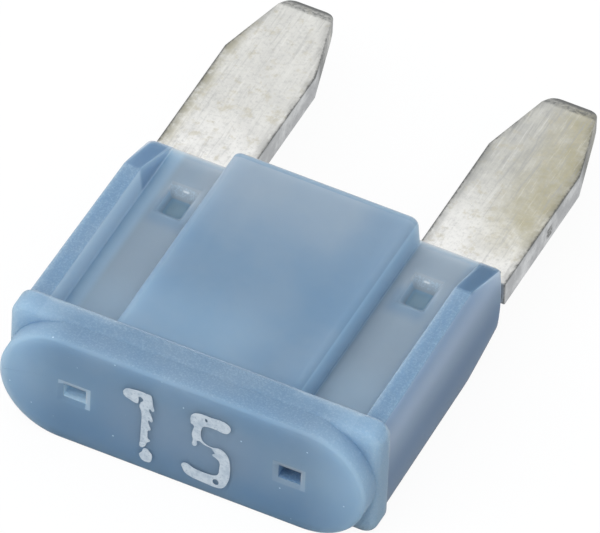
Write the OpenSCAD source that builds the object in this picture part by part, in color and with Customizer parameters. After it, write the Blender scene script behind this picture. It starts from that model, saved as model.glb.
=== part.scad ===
// Miniature automotive blade fuse, lying flat on its back.
// +X runs across the two blades, +Y from the numbered end face to the blade tips,
// +Z up from the surface it rests on. Millimetres.

/* [Overall] */
// Length from the numbered end face to the blade tips
overall_len = 16.3; // [15:0.1:20]
// Length of the moulded housing, without the blades
housing_len = 8.9; // [8:0.1:10]

/* [Head] */
// How far the round-ended cap's sides stay inside the flange's
cap_inset = 0.05; // [0:0.01:0.3]
// Thickness of the cap
cap_t = 3.74; // [3.4:0.02:3.8]
// How far the cap stands out from the flange
cap_len = 0.67; // [0.5:0.01:0.9]
// Rounding of the cap's outer edge
cap_edge_r = 0.12; // [0.05:0.01:0.3]
// How far the flange stands out from the body on each side
flange_lip = 0.05; // [0.03:0.01:0.35]
// Thickness of the flange, the thickest place on the fuse
flange_t = 3.8; // [3.7:0.02:4.4]
// Length of the flange along the fuse
flange_len = 0.75; // [0.6:0.01:1]
// Corner radius of the flange, seen from its end
flange_corner_r = 0.45; // [0.3:0.05:0.6]
// Rounding where the flange turns to the cap
flange_edge_r = 0.2; // [0.1:0.02:0.3]

/* [Body] */
// Width of the body at its middle plane, at the flange
body_w = 11.1; // [10.6:0.1:13]
// Radius of the bulging side faces
side_r = 9; // [6:0.5:20]
// Angle at which the sides draw in towards the blades
side_draft = 0.9; // [0:0.1:1]
// Thickness of the plastic and metal under the side channels
web_t = 1.9; // [1.6:0.05:2.2]
// Thickness of the raised centre panels, over both faces
panel_t = 3.6; // [3:0.02:3.7]
// How far the centre panel's face reaches past the blades' inner edges
panel_lap = 0.15; // [-0.05:0.01:0.3]
// Rounding of the panel's long edges
panel_edge_r = 0.28; // [0.1:0.02:0.4]
// Rounding of the panel's blade end
panel_end_r = 0.12; // [0.05:0.01:0.25]
// Thickness over the two side ribs
rib_t = 3.56; // [3:0.02:3.7]
// Width of each rib, at the body's widest place
rib_w = 0.75; // [0.6:0.01:1]
// How far each channel wall leans out from its foot to its top
wall_lean = 0.1; // [0:0.01:0.15]
// Length of the slope at the blade end of each rib
rib_slope_len = 1.9; // [1:0.05:2.5]
// Height of the rib that is left at the end of its slope, over the channel floor
rib_slope_rest = 0.02; // [0.01:0.01:0.2]
// Corner radius of the body at its blade end, seen from above
end_corner_r = 0.24; // [0.05:0.01:0.3]

/* [Stakes] */
// Distance of each stake from its blade's inner edge
stake_inset = 1.05; // [0.9:0.05:1.25]
// Distance of the stakes from the numbered end face
stake_y = 7.12; // [6.5:0.02:7.5]
// Width of a punched pocket at its mouth
stake_mouth_w = 0.8; // [0.7:0.02:1]
// Length of a punched pocket at its mouth, along the fuse
stake_mouth_len = 1.28; // [0.8:0.02:1.4]
// Width and length of a punched pocket at its bottom
stake_floor = 0.6; // [0.3:0.02:0.66]
// Plastic left between a pocket and the blade slot
stake_skin = 0.12; // [0.08:0.01:0.25]
// Diameter of the plastic nub that is pressed into the blade's hole
nub_d = 0.6; // [0.4:0.02:0.8]
// How deep each nub reaches into the blade's hole
nub_len = 0.3; // [0.1:0.01:0.35]

/* [Test windows] */
// Distance of each test window's middle from its blade's inner edge
window_inset = 0.61; // [0.5:0.01:1.3]
// Width of the window's frame on the end face
window_w = 1.02; // [0.7:0.02:1.2]
// Height of the window's frame on the end face
window_h = 0.82; // [0.6:0.02:1]
// How much narrower the hole is than its frame, on each side
window_step = 0.17; // [0.05:0.01:0.2]
// Depth of the sloping frame
window_depth = 0.05; // [0.02:0.01:0.3]

/* [Cavity] */
// Running space between the metal and the slot around it
slot_clear = 0.05; // [0.02:0.01:0.1]
// Plastic left between the chamber's side and each blade's inner edge
chamber_wall = 0.45; // [0.25:0.05:0.8]
// Height of the chamber round the fusible link
chamber_t = 2.3; // [1.6:0.05:2.6]
// Distance from the numbered end face to the chamber's blind end
chamber_start = 1.9; // [1.7:0.05:2.4]

/* [Metal] */
// Width of each exposed blade
blade_w = 2.8; // [2.6:0.05:2.9]
// Thickness of the metal
blade_t = 0.8; // [0.7:0.05:0.9]
// How far each blade's outer edge stays inside the body's widest place
blade_inset = 0.1; // [0:0.02:0.4]
// Width of the blade that passes up inside the housing
leg_w = 2.2; // [2:0.05:2.3]
// Distance from the numbered end face to the metal behind the test windows
leg_start = 1.1; // [0.8:0.05:1.5]
// Length of the tapered stretch at each tip
taper_len = 2.65; // [2:0.05:3]
// Width across the very end of a tip
tip_w = 1.55; // [1:0.05:2]
// Corner radius of a tip
tip_r = 0.36; // [0.1:0.02:0.45]
// Length of the bevel on both faces of a tip
bevel_len = 0.5; // [0.3:0.05:1]
// Thickness at the very end of a tip
bevel_t = 0.42; // [0.2:0.02:0.6]

/* [Fusible link] */
// Thickness of the thinned metal between the blades
link_t = 0.36; // [0.2:0.02:0.5]
// Width of the thinned strip
link_w = 0.62; // [0.4:0.02:0.8]
// Radius of the strip's arch, along its middle line
arch_r = 1.05; // [0.8:0.05:1.2]
// Distance from the numbered end face to the straight ends of the strip
link_y = 5.3; // [4.6:0.1:6]
// Diameter of the hole that makes the weak spot
weak_d = 0.3; // [0.1:0.02:0.4]

/* [Number] */
// Height of the printed figures
figure_h = 2.5; // [1.8:0.05:2.7]
// Width of the printed strokes
stroke_w = 0.36; // [0.2:0.02:0.5]
// Middle of the figure one's stem across the end face
one_x = -1.07; // [-1.4:0.01:-0.8]
// Middle of the figure five's bowl across the end face
five_x = 0.75; // [0.6:0.01:1.2]
// How far the number's middle sits below the middle of the end face
figure_drop = 0.22; // [0:0.01:0.4]
// Thickness of the ink
ink_t = 0.03; // [0.02:0.01:0.06]

/* [Hidden] */
$fn = 64;
HULL_FN = 32;
SIDE_FN = 128; // facets of the large side cylinders
OVER = 1; // how far a cutter or an inner part runs past what it meets
HOUSING_BLUE = "#7fa0c4";
ZINC_GREY = "#c9c7bf";
INK_WHITE = "#e4e6e8";

face_y = ink_t - (overall_len + ink_t) / 2;
flange_end = cap_len + flange_len;
flange_w = body_w + 2 * flange_lip;
cap_w = flange_w - 2 * cap_inset;
blade_out = body_w / 2 - blade_inset;
blade_in = blade_out - blade_w;
blade_x = (blade_in + blade_out) / 2;
shoulder_y = housing_len + slot_clear;
slot_t = blade_t + 2 * slot_clear;
slot_w = 2 * (blade_in + leg_w + slot_clear);
rib_slope_drop = (rib_t - web_t) / 2 - rib_slope_rest;
rib_inner = body_w / 2 - rib_w;
panel_w = 2 * (blade_in + panel_lap);
chamber_w = 2 * (blade_in - chamber_wall);
stake_x = blade_in + stake_inset;
window_x = blade_in + window_inset;
panel_foot = panel_w / 2 + wall_lean;
body_start = flange_end - flange_edge_r;
hole_d = nub_d + 2 * slot_clear;

// Puts the fuse's own frame, with its middle plane at z = 0 and its end face at y = 0, on the ground.
module placed() translate([0, face_y, flange_t / 2]) children();

// Turns a shape that stands along +Z so that it runs along +Y.
module along_y() rotate([-90, 0, 0]) children();

// Makes a shape and its mirror image across the middle of the fuse.
module both_sides() {
  children();
  mirror([1, 0, 0]) children();
}

// Makes a shape and its mirror image on the back face.
module both_faces() {
  children();
  mirror([0, 0, 1]) children();
}

// Half outline of an edge: reach wide, depth long, rounded by r at its start.
module edge_profile(reach, depth, r) {
  difference() {
    square([reach, depth]);
    translate([reach - r, 0]) square([r, r]);
  }
  intersection() {
    translate([reach - r, r]) circle(r);
    translate([reach - r, 0]) square([r, r]);
  }
}

// Full outline of the same edge on both sides.
module both_edges(reach, depth, r) {
  edge_profile(reach, depth, r);
  mirror([1, 0]) edge_profile(reach, depth, r);
}

// Plate w by t with rounded corners, standing depth along +Z, its starting edge rounded all round.
module rounded_plate(w, t, corner_r, depth, edge_r) {
  flat_w = w - 2 * corner_r;
  flat_t = t - 2 * corner_r;
  if (flat_t > 0)
    rotate([90, 0, 0])
      linear_extrude(flat_t, center = true) both_edges(w / 2, depth, edge_r);
  rotate([90, 0, 90])
    linear_extrude(flat_w, center = true) both_edges(t / 2, depth, edge_r);
  for (sx = [-1, 1], sy = [-1, 1])
    translate([sx * flat_w / 2, sy * max(flat_t, 0) / 2, 0])
      rotate([0, 0, corner_turn(sx, sy)])
        rotate_extrude(angle = 90) edge_profile(corner_r, depth, edge_r);
}

// Turn of a quarter revolve that fills the corner on the sides sx and sy.
function corner_turn(sx, sy) = sx > 0 ? (sy > 0 ? 0 : -90) : (sy > 0 ? 90 : 180);

// Block between two bulging side faces, each drawn in towards the blades.
module side_envelope() {
  intersection_for (s = [-1, 1])
    translate([s * (body_w / 2), flange_end, 0])
      rotate([0, 0, s * side_draft])
        translate([-s * side_r, -OVER, 0])
          along_y() cylinder(h = housing_len + OVER, r = side_r, $fn = SIDE_FN);
}

// Outline of the body seen from above, with rounded corners at the blade end.
module plan_outline() {
  reach = body_w / 2 + OVER;
  inset = body_w / 2 - (housing_len - flange_end) * tan(side_draft) - end_corner_r;
  translate([-reach, body_start]) square([2 * reach, housing_len - end_corner_r - body_start]);
  translate([-inset, body_start]) square([2 * inset, housing_len - body_start]);
  for (s = [-1, 1]) translate([s * inset, housing_len - end_corner_r]) circle(end_corner_r);
}

// Side view of a rib: full height, then the slope at the blade end.
module rib_side_view() {
  top = rib_t / 2;
  end_top = top - rib_slope_drop;
  polygon([
    [body_start, -top], [housing_len - rib_slope_len, -top], [housing_len, -end_top],
    [housing_len, end_top], [housing_len - rib_slope_len, top], [body_start, top]
  ]);
}

// End view of both ribs: inner walls that lean, and plenty of width for the sides to cut.
module rib_end_view() {
  top = rib_t / 2;
  foot = web_t / 2;
  reach = body_w / 2 + OVER;
  for (s = [-1, 1])
    polygon([
      [s * reach, -top], [s * rib_inner, -top], [s * (rib_inner - wall_lean), -foot],
      [s * (rib_inner - wall_lean), foot], [s * rib_inner, top], [s * reach, top]
    ]);
}

// The two side ribs, before the side faces cut them.
module ribs() {
  intersection() {
    rotate([90, 0, 90]) linear_extrude(body_w + 2 * OVER, center = true) rib_side_view();
    translate([0, body_start, 0]) along_y() linear_extrude(housing_len) rib_end_view();
  }
}

// Raised centre panel of both faces, with its long edges and blade end rounded.
module panel() {
  depth = housing_len - body_start;
  translate([0, housing_len, 0])
    rotate([90, 0, 0])
      rounded_plate(panel_w, panel_t, panel_edge_r, depth, panel_end_r);
  translate([0, body_start, 0])
    along_y() linear_extrude(depth - panel_edge_r) panel_foot_view();
}

// End view of the panel's leaning walls, below its rounded edges.
module panel_foot_view() {
  top = panel_t / 2 - panel_edge_r;
  foot = web_t / 2;
  polygon([
    [-panel_w / 2, -top], [panel_w / 2, -top], [panel_foot, -foot], [panel_foot, foot],
    [panel_w / 2, top], [-panel_w / 2, top], [-panel_foot, foot], [-panel_foot, -foot]
  ]);
}

// Plastic round the blades, between the ribs and the panel.
module web() {
  translate([-body_w / 2 - OVER, body_start, -web_t / 2])
    cube([body_w + 2 * OVER, housing_len - body_start, web_t]);
}

// The body from the flange to the blade end, solid.
module body_block() {
  intersection() {
    union() {
      web();
      ribs();
      panel();
    }
    side_envelope();
    translate([0, 0, -flange_t / 2]) linear_extrude(flange_t) plan_outline();
  }
}

// Flange and cap, solid.
module head_block() {
  translate([0, cap_len, 0])
    along_y() rounded_plate(flange_w, flange_t, flange_corner_r, flange_len, flange_edge_r);
  along_y() rounded_plate(cap_w, cap_t, cap_t / 2, cap_len + flange_edge_r, cap_edge_r);
}

// Slot that takes the metal, open at the blade end.
module metal_slot() {
  start = leg_start - slot_clear;
  translate([-slot_w / 2, start, -slot_t / 2])
    cube([slot_w, housing_len - start + OVER, slot_t]);
}

// Wider chamber round the link, open at the blade end.
module link_chamber() {
  translate([-chamber_w / 2, chamber_start, -chamber_t / 2])
    cube([chamber_w, housing_len - chamber_start + OVER, chamber_t]);
}

// Four-sided hollow, mouth [x, y] at z = 0 and floor [x, y] at z = -depth.
module tapered_pocket(mouth, floor, depth) {
  intersection() {
    rotate([90, 0, 0])
      linear_extrude(2 * mouth[1], center = true) pocket_view(mouth[0], floor[0], depth);
    rotate([90, 0, 90])
      linear_extrude(2 * mouth[0], center = true) pocket_view(mouth[1], floor[1], depth);
  }
}

// Side view of the hollow, carried straight up past its mouth.
module pocket_view(mouth, floor, depth) {
  top = mouth / 2;
  low = floor / 2;
  polygon([[-top, OVER], [-top, 0], [-low, -depth], [low, -depth], [top, 0], [top, OVER]]);
}

// Pocket that the staking punch leaves in a channel floor.
module stake_pocket() {
  depth = (web_t - slot_t) / 2 - stake_skin;
  translate([stake_x, stake_y, web_t / 2])
    tapered_pocket([stake_mouth_w, stake_mouth_len], [stake_floor, stake_floor], depth);
}

// Nub that the punch presses into the hole in the blade.
module stake_nub() {
  translate([stake_x, stake_y, blade_t / 2 - nub_len])
    cylinder(h = nub_len + slot_clear + stake_skin / 2, d = nub_d);
}

// Test window: a sloping frame, then a straight hole to the metal.
module test_window() {
  hole_w = window_w - 2 * window_step;
  hole_h = window_h - 2 * window_step;
  translate([window_x, 0, 0]) {
    rotate([90, 0, 0]) tapered_pocket([window_w, window_h], [hole_w, hole_h], window_depth);
    translate([-hole_w / 2, 0, -hole_h / 2]) cube([hole_w, leg_start, hole_h]);
  }
}

// Moulded housing: head, body, slot, chamber, windows and stakes.
module housing() {
  color(HOUSING_BLUE) placed() {
    difference() {
      union() {
        body_block();
        head_block();
      }
      metal_slot();
      link_chamber();
      both_sides() test_window();
      both_sides() both_faces() stake_pocket();
    }
    both_sides() both_faces() stake_nub();
  }
}

// Outline of one blade, from behind its test window to the start of its taper.
module blade_outline() {
  translate([blade_in, leg_start]) square([leg_w, shoulder_y - leg_start]);
  translate([blade_in, shoulder_y])
    square([blade_w, overall_len - taper_len - shoulder_y]);
}

// Outline of one tapered tip with round corners.
module tip_outline() {
  hull() {
    translate([blade_in, overall_len - taper_len - tip_r]) square([blade_w, tip_r]);
    for (s = [-1, 1])
      translate([blade_x + s * (tip_w / 2 - tip_r), overall_len - tip_r])
        circle(tip_r, $fn = HULL_FN);
  }
}

// Side view of a blade, bevelled on both faces at its tip.
module blade_side_view() {
  half = blade_t / 2;
  tip = bevel_t / 2;
  polygon([
    [leg_start, -half], [overall_len - bevel_len, -half], [overall_len, -tip],
    [overall_len, tip], [overall_len - bevel_len, half], [leg_start, half]
  ]);
}

// One blade with its leg and its stake hole.
module blade() {
  difference() {
    intersection() {
      translate([0, 0, -blade_t / 2]) linear_extrude(blade_t) {
        blade_outline();
        tip_outline();
      }
      rotate([90, 0, 90]) linear_extrude(blade_out + OVER) blade_side_view();
    }
    translate([stake_x, stake_y, 0]) cylinder(h = blade_t + OVER, d = hole_d, center = true);
  }
}

// Thinned strip between the blades: a straight stub on each side and an arch, with a hole at its top.
module link() {
  stub = blade_in - arch_r + link_w / 2;
  translate([0, link_y, 0]) difference() {
    union() {
      intersection() {
        cylinder(h = link_t, r = arch_r + link_w / 2, center = true);
        translate([-2 * arch_r, -2 * arch_r, -link_t / 2]) cube([4 * arch_r, 2 * arch_r, link_t]);
      }
      both_sides() translate([arch_r - link_w / 2, 0, -link_t / 2])
        cube([stub + slot_clear, link_w, link_t]);
    }
    cylinder(h = link_t + OVER, r = arch_r - link_w / 2, center = true);
    translate([0, -arch_r, 0]) cylinder(h = link_t + OVER, d = weak_d, center = true);
  }
}

// One stamped piece of zinc: two blades and the link between them.
module fuse_element() {
  color(ZINC_GREY) placed() {
    both_sides() blade();
    link();
  }
}

// Lays a flat figure, drawn upright about its own middle, on the end face.
module printed(x) {
  color(INK_WHITE) placed()
    translate([x, 0, -figure_drop]) rotate([90, 0, 0]) linear_extrude(ink_t) children();
}

// The figure one: a stem and a flag.
module figure_one() {
  flag_reach = figure_h * 0.28;
  printed(one_x) {
    translate([-stroke_w / 2, -figure_h / 2]) square([stroke_w, figure_h]);
    translate([-flag_reach, figure_h / 2 - stroke_w]) square([flag_reach, stroke_w]);
  }
}

// The figure five: a bar, a short stem and a bowl.
module figure_five() {
  top = figure_h / 2;
  bowl_r = figure_h * 0.3;
  stem_reach = figure_h * 0.18;
  bar_reach = figure_h * 0.25;
  tail_reach = figure_h * 0.28;
  bowl_y = bowl_r - top;
  inner_r = bowl_r - stroke_w;
  printed(five_x) {
    translate([-stem_reach, top - stroke_w]) square([stem_reach + bar_reach, stroke_w]);
    translate([-stem_reach, bowl_y + inner_r]) square([stroke_w, top - bowl_y - inner_r]);
    translate([-stem_reach, bowl_y + inner_r]) square([stem_reach, stroke_w]);
    translate([-tail_reach, -top]) square([tail_reach, stroke_w]);
    intersection() {
      translate([0, bowl_y]) difference() {
        circle(bowl_r);
        circle(inner_r);
      }
      translate([0, bowl_y - bowl_r]) square([bowl_r, 2 * bowl_r]);
    }
  }
}

housing();
fuse_element();
figure_one();
figure_five();
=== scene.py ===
# %% [markdown]
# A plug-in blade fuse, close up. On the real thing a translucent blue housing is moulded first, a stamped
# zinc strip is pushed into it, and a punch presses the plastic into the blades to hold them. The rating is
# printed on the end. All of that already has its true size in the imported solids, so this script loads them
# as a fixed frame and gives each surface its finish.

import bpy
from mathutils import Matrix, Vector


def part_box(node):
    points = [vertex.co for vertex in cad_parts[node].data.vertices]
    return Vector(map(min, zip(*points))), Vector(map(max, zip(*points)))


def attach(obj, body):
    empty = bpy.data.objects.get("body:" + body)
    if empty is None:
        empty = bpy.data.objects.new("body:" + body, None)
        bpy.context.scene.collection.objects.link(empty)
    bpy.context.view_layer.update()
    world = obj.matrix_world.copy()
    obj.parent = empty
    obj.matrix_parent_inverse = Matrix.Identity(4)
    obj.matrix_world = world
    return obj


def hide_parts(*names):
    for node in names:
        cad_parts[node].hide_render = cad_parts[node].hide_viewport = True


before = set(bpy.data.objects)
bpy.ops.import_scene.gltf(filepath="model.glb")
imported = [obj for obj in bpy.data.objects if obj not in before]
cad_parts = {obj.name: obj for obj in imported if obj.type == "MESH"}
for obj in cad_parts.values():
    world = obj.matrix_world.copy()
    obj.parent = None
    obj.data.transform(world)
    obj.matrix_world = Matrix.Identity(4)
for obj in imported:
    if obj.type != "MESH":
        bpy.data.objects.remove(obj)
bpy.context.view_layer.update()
print("solids:", sorted(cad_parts))

# %% [markdown]
# Blender works in metres and a fuse is a few millimetres thick, so the places below are written in
# millimetres and turned into metres by one factor. The main planes come from the loaded solids themselves:
# the printed end face, the blade end of the housing and the plane halfway between its two faces. Two more
# are measured from them: the ledge behind the head, and the place where the ribs begin to slope. The test
# windows lie at equal distances to the left and the right.

# %% Main planes of the fuse
import bpy
import bmesh
import math
from types import SimpleNamespace
from mathutils import Matrix, Vector

MM = 0.001
housing_low, housing_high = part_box("housing")
END_FACE = housing_low[1] / MM
BLADE_END = housing_high[1] / MM
MIDDLE = (housing_low[2] + housing_high[2]) / 2 / MM
HEAD_LENGTH = 1.42
SLOPE_LENGTH = 1.9
LEDGE = END_FACE + HEAD_LENGTH
SLOPE_START = BLADE_END - SLOPE_LENGTH
WINDOW_X = 3.26
print("end face at y %.3f mm, blade end at y %.3f mm, middle at z %.3f mm" % (END_FACE, BLADE_END, MIDDLE))

# %% [markdown]
# The photograph was taken from far away with a long lens, so lines that are parallel on the fuse stay almost
# parallel in the picture. The camera stands 0.66 m off, turned 24 degrees to the right of the end face and
# looking down at 46 degrees, and it is rolled a little, because the fuse lies slightly turned in the frame.

# %% Camera
AIM = Vector((0.0103, -0.842, 1.9)) * MM
DISTANCE = 0.66
AZIMUTH, ELEVATION, ROLL = 24.294, 45.524, 2.698
VIEW_WIDTH = 16.4186 * MM
SENSOR = 36.0
NEAREST = 0.01


def outward(azimuth, elevation):
    """The direction from the fuse to a viewer at these angles, in degrees."""
    turn, rise = math.radians(azimuth), math.radians(elevation)
    return Vector((math.sin(turn) * math.cos(rise), -math.cos(turn) * math.cos(rise), math.sin(rise)))


def looking_at(place, target, roll=0.0):
    """A matrix that puts something at place, its -Z pointing at target, rolled about that line."""
    turn = (target - place).to_track_quat("-Z", "Y").to_matrix().to_4x4()
    return Matrix.Translation(place) @ turn @ Matrix.Rotation(math.radians(roll), 4, "Z")


camera_data = bpy.data.cameras.new("camera")
camera_data.sensor_width = SENSOR
camera_data.lens = SENSOR * DISTANCE / VIEW_WIDTH
camera_data.clip_start = NEAREST
camera = bpy.data.objects.new("camera", camera_data)
camera.matrix_world = looking_at(AIM + DISTANCE * outward(AZIMUTH, ELEVATION), AIM, ROLL)
bpy.context.scene.collection.objects.link(camera)
bpy.context.scene.camera = camera
print("lens %.0f mm" % camera_data.lens)

# %% [markdown]
# Colours are noted as a painter reads them off a screen, from 0 to 255. Shaders work with light, so each
# value is turned into its linear share first. Node trees are long to write out, so small helpers build them.
# One adds a node and fills its inputs, and each of the others is one step: arithmetic, a noise, or a fade
# between two values. A socket knows the tree that it is in, so most helpers ask only for sockets.

# %% Helpers that add nodes
def colour(red, green, blue):
    """A screen colour as the linear values that shaders use."""
    shares = [c / 255 for c in (red, green, blue)]
    return [s / 12.92 if s <= 0.04045 else ((s + 0.055) / 1.055) ** 2.4 for s in shares] + [1.0]


def new_material(name):
    """A new material and its main shader."""
    material = bpy.data.materials.new(name)
    material.use_nodes = True
    return material, material.node_tree.nodes["Principled BSDF"]


def fill(node, inputs):
    """Links each input of a node to a socket, or sets it to a value."""
    for name, value in inputs.items():
        if isinstance(value, bpy.types.NodeSocket):
            node.id_data.links.new(value, node.inputs[name])
        else:
            node.inputs[name].default_value = value


def add(tree, kind, inputs, out=0, **settings):
    """Adds a node, sets it up, fills its inputs and returns one of its outputs."""
    node = tree.nodes.new("ShaderNode" + kind)
    for name, value in settings.items():
        setattr(node, name, value)
    fill(node, inputs)
    return node.outputs[out]


def sums(operation, *values):
    """One step of arithmetic, whose first value is a socket."""
    return add(values[0].id_data, "Math", dict(enumerate(values)), operation=operation)


def times(a, b):
    return sums("MULTIPLY", a, b)


def either(a, b):
    return sums("MAXIMUM", a, b)


def noise(point, scale, detail, roughness=0.5):
    """Cloudy values round 0.5, which are finer for a larger scale."""
    inputs = {"Vector": point, "Scale": scale, "Detail": detail, "Roughness": roughness}
    return add(point.id_data, "TexNoise", inputs)


def fade(value, start, end):
    """0 at start, 1 at end, smooth between, whichever of the two is larger."""
    inputs = {"Value": value, "From Min": start, "From Max": end}
    return add(value.id_data, "MapRange", inputs, interpolation_type="SMOOTHSTEP")


def between(value, low, high):
    """low where the value is 0, high where it is 1."""
    return add(value.id_data, "MapRange", {"Value": value, "To Min": low, "To Max": high})


print("screen grey 128 is a linear %.3f" % colour(128, 128, 128)[0])

# %% [markdown]
# Tints are laid on as an airbrush would lay them, through masks. A zone is a mask between two distances on
# the fuse, with a soft border, and painting blends a share of a tint over what is there where all its masks
# let it through. The distances are the object's own, in millimetres, so a tint stays in its place from
# every side, as dye and dirt do. In the lines that follow, a zone's numbers are its two limits, and the
# number after a tint is its share.

# %% Masks and paint
FAR = 99
MIX_ONE, MIX_OTHER, MIX_RESULT = 6, 7, 2


def blend(share, one, other):
    """One colour where share is 0, the other where it is 1."""
    inputs = {0: share, MIX_ONE: one, MIX_OTHER: other}
    return add(share.id_data, "Mix", inputs, out=MIX_RESULT, data_type="RGBA")


def zone(value, low, high, soft=0.04):
    """1 between low and high, fading to 0 over the distance soft beyond them."""
    return times(fade(value, low - soft, low), fade(value, high + soft, high))


def near(value, place, reach, soft=0.04):
    """1 up to a distance reach on both sides of a place."""
    return zone(value, place - reach, place + reach, soft)


def paint(base, tint, share, *masks):
    """Blends a share of a tint over the base colour where all the masks are 1."""
    for mask in masks:
        share = times(mask, share)
    return blend(share, base, tint)


def places(tree):
    """Where a point of the fuse is, in millimetres.

    side is negative on the left, and across is its size. off is above the middle plane, and height its size.
    """
    metres = add(tree, "TexCoord", {}, out="Object")
    point = add(tree, "VectorMath", {0: metres, "Scale": 1 / MM}, operation="SCALE")
    axes = tree.nodes.new("ShaderNodeSeparateXYZ")
    fill(axes, {0: point})
    side, along, up = axes.outputs
    off = sums("SUBTRACT", up, MIDDLE)
    across = sums("ABSOLUTE", side)
    height = sums("ABSOLUTE", off)
    return SimpleNamespace(point=point, side=side, across=across, along=along, off=off, height=height)


print("masks reach %d mm where they have no end" % FAR)

# %% [markdown]
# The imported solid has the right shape, but its roundings are coarse. The housing is modelled again at the
# same sizes, as a toolmaker would think of it: a few simple blocks that run along the fuse, joined to one
# body, with the slot, the chamber, the windows and the punched pockets cut out of it. It is modelled with
# one unit to the millimetre, because Blender's tools like sizes near one, and shrunk to metres at the end.

# %% Outlines with rounded corners
def rounded_outline(corners, steps=5):
    """Points of a closed outline, where each corner is (across, up, radius)."""
    points = []
    for i, (x, z, radius) in enumerate(corners):
        corner = Vector((x, z))
        if radius == 0:
            points.append(corner)
            continue
        before = (Vector(corners[i - 1][:2]) - corner).normalized()
        after = (Vector(corners[(i + 1) % len(corners)][:2]) - corner).normalized()
        half = before.angle(after) / 2
        centre = corner + (before + after).normalized() * radius / math.sin(half)
        first = corner + before * radius / math.tan(half) - centre
        last = corner + after * radius / math.tan(half) - centre
        sweep = first.angle_signed(last)
        for k in range(steps + 1):
            points.append(centre + Matrix.Rotation(-sweep * k / steps, 2) @ first)
    return points


def box_outline(half_width, half_height, radius, steps):
    signs = ((1, -1), (1, 1), (-1, 1), (-1, -1))
    return rounded_outline([(sx * half_width, sz * half_height, radius) for sx, sz in signs], steps)


example = box_outline(half_width=2, half_height=1, radius=0.5, steps=8)
print("a box outline with 8 steps to a corner has", len(example), "points")

# %% Blocks that run along the fuse
FLAT_ANGLE = math.radians(15)
SAME_PLACE = 1e-4


def select_only(piece):
    bpy.ops.object.select_all(action="DESELECT")
    piece.select_set(True)
    bpy.context.view_layer.objects.active = piece


def run_along(name, points, start, end):
    """A circle whose points are moved to an outline seen from the end face, then extruded along Y."""
    bpy.ops.object.select_all(action="DESELECT")
    bpy.ops.mesh.primitive_circle_add(vertices=len(points), fill_type="NGON")
    piece = bpy.context.object
    piece.name = name
    for vertex, (x, z) in zip(piece.data.vertices, points):
        vertex.co = (x, start, MIDDLE + z)
    bpy.ops.object.mode_set(mode="EDIT")
    bpy.ops.mesh.select_all(action="SELECT")
    bpy.ops.mesh.extrude_region_move(TRANSFORM_OT_translate={"value": (0, end - start, 0)})
    bpy.ops.mesh.select_all(action="SELECT")
    bpy.ops.mesh.normals_make_consistent(inside=False)
    bpy.ops.object.mode_set(mode="OBJECT")
    return piece


def round_edges(piece, chosen, radius, steps):
    """Rounds the edges whose two ends both satisfy chosen(place)."""
    select_only(piece)
    bpy.ops.object.mode_set(mode="EDIT")
    bpy.ops.mesh.select_mode(type="EDGE")
    bpy.ops.mesh.select_all(action="DESELECT")
    work = bmesh.from_edit_mesh(piece.data)
    for edge in work.edges:
        meets = len(edge.link_faces) == 2 and edge.calc_face_angle(0) > FLAT_ANGLE
        edge.select_set(meets and all(chosen(v.co) for v in edge.verts))
    picked = sum(edge.select for edge in work.edges)
    bmesh.update_edit_mesh(piece.data)
    bpy.ops.mesh.bevel(offset=radius, segments=steps, affect="EDGES", clamp_overlap=False)
    bpy.ops.object.mode_set(mode="OBJECT")
    print(piece.name, "edges rounded:", picked)


def at_y(place, y):
    return abs(place.y - y) < SAME_PLACE


print("edges between faces that differ by over %.0f degrees can be rounded" % math.degrees(FLAT_ANGLE))

# %% [markdown]
# The head is two blocks. The flange is a plate with small round corners, and its front edge rolls over to
# the cap. The cap is nearly as wide, but its ends are half circles, and its front edge is nearly sharp. Its
# corners are a hair smaller than half its height, so that no two of them end in the same point.

# %% Flange and cap
FLANGE_FRONT = END_FACE + 0.67
FLANGE_HALF, FLANGE_CORNER = (5.6, 1.9), 0.45
FRONT_ROLL, LEDGE_RADIUS = 0.2, 0.06
CAP_HALF, CAP_EDGE = (5.55, 1.87), 0.1
CAP_BACK = LEDGE - 0.3
HAIR = 0.001
CAP_CORNER = CAP_HALF[1] - HAIR

flange_outline = box_outline(*FLANGE_HALF, FLANGE_CORNER, steps=8)
flange = run_along("moulded_housing", flange_outline, FLANGE_FRONT, LEDGE)
round_edges(flange, lambda v: at_y(v, FLANGE_FRONT), FRONT_ROLL, steps=6)
round_edges(flange, lambda v: at_y(v, LEDGE), LEDGE_RADIUS, steps=3)
cap_outline = box_outline(*CAP_HALF, CAP_CORNER, steps=24)
cap = run_along("cap", cap_outline, END_FACE, CAP_BACK)
round_edges(cap, lambda v: at_y(v, END_FACE), CAP_EDGE, steps=5)

# %% [markdown]
# Seen from its end, the body is a thin web with a rib at each side, and the sides bulge. One outline holds
# all of that, with the small radii of the ribs and their feet, and with a point of the bulging arc every
# quarter of a millimetre. The sides draw in a little towards the blades, so that the part leaves its mould,
# and the outer points of the far end are moved in for that.

# %% Web and ribs
BODY_HALF = 5.55
BULGE = 9.0
WEB_HALF, RIB_HALF = 0.95, 1.78
RIB_INNER, RIB_FOOT = 4.8, 4.7
RIB_RADIUS, FOOT_RADIUS = 0.05, 0.06
BODY_START = LEDGE - 0.2
SIDE_FROM = 5.0
DRAW_IN, END_RADIUS = 0.117, 0.24


def side_reach(height):
    """How far out the bulging side is at this height off the middle plane."""
    return BODY_HALF - BULGE + math.sqrt(BULGE ** 2 - height ** 2)


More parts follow.
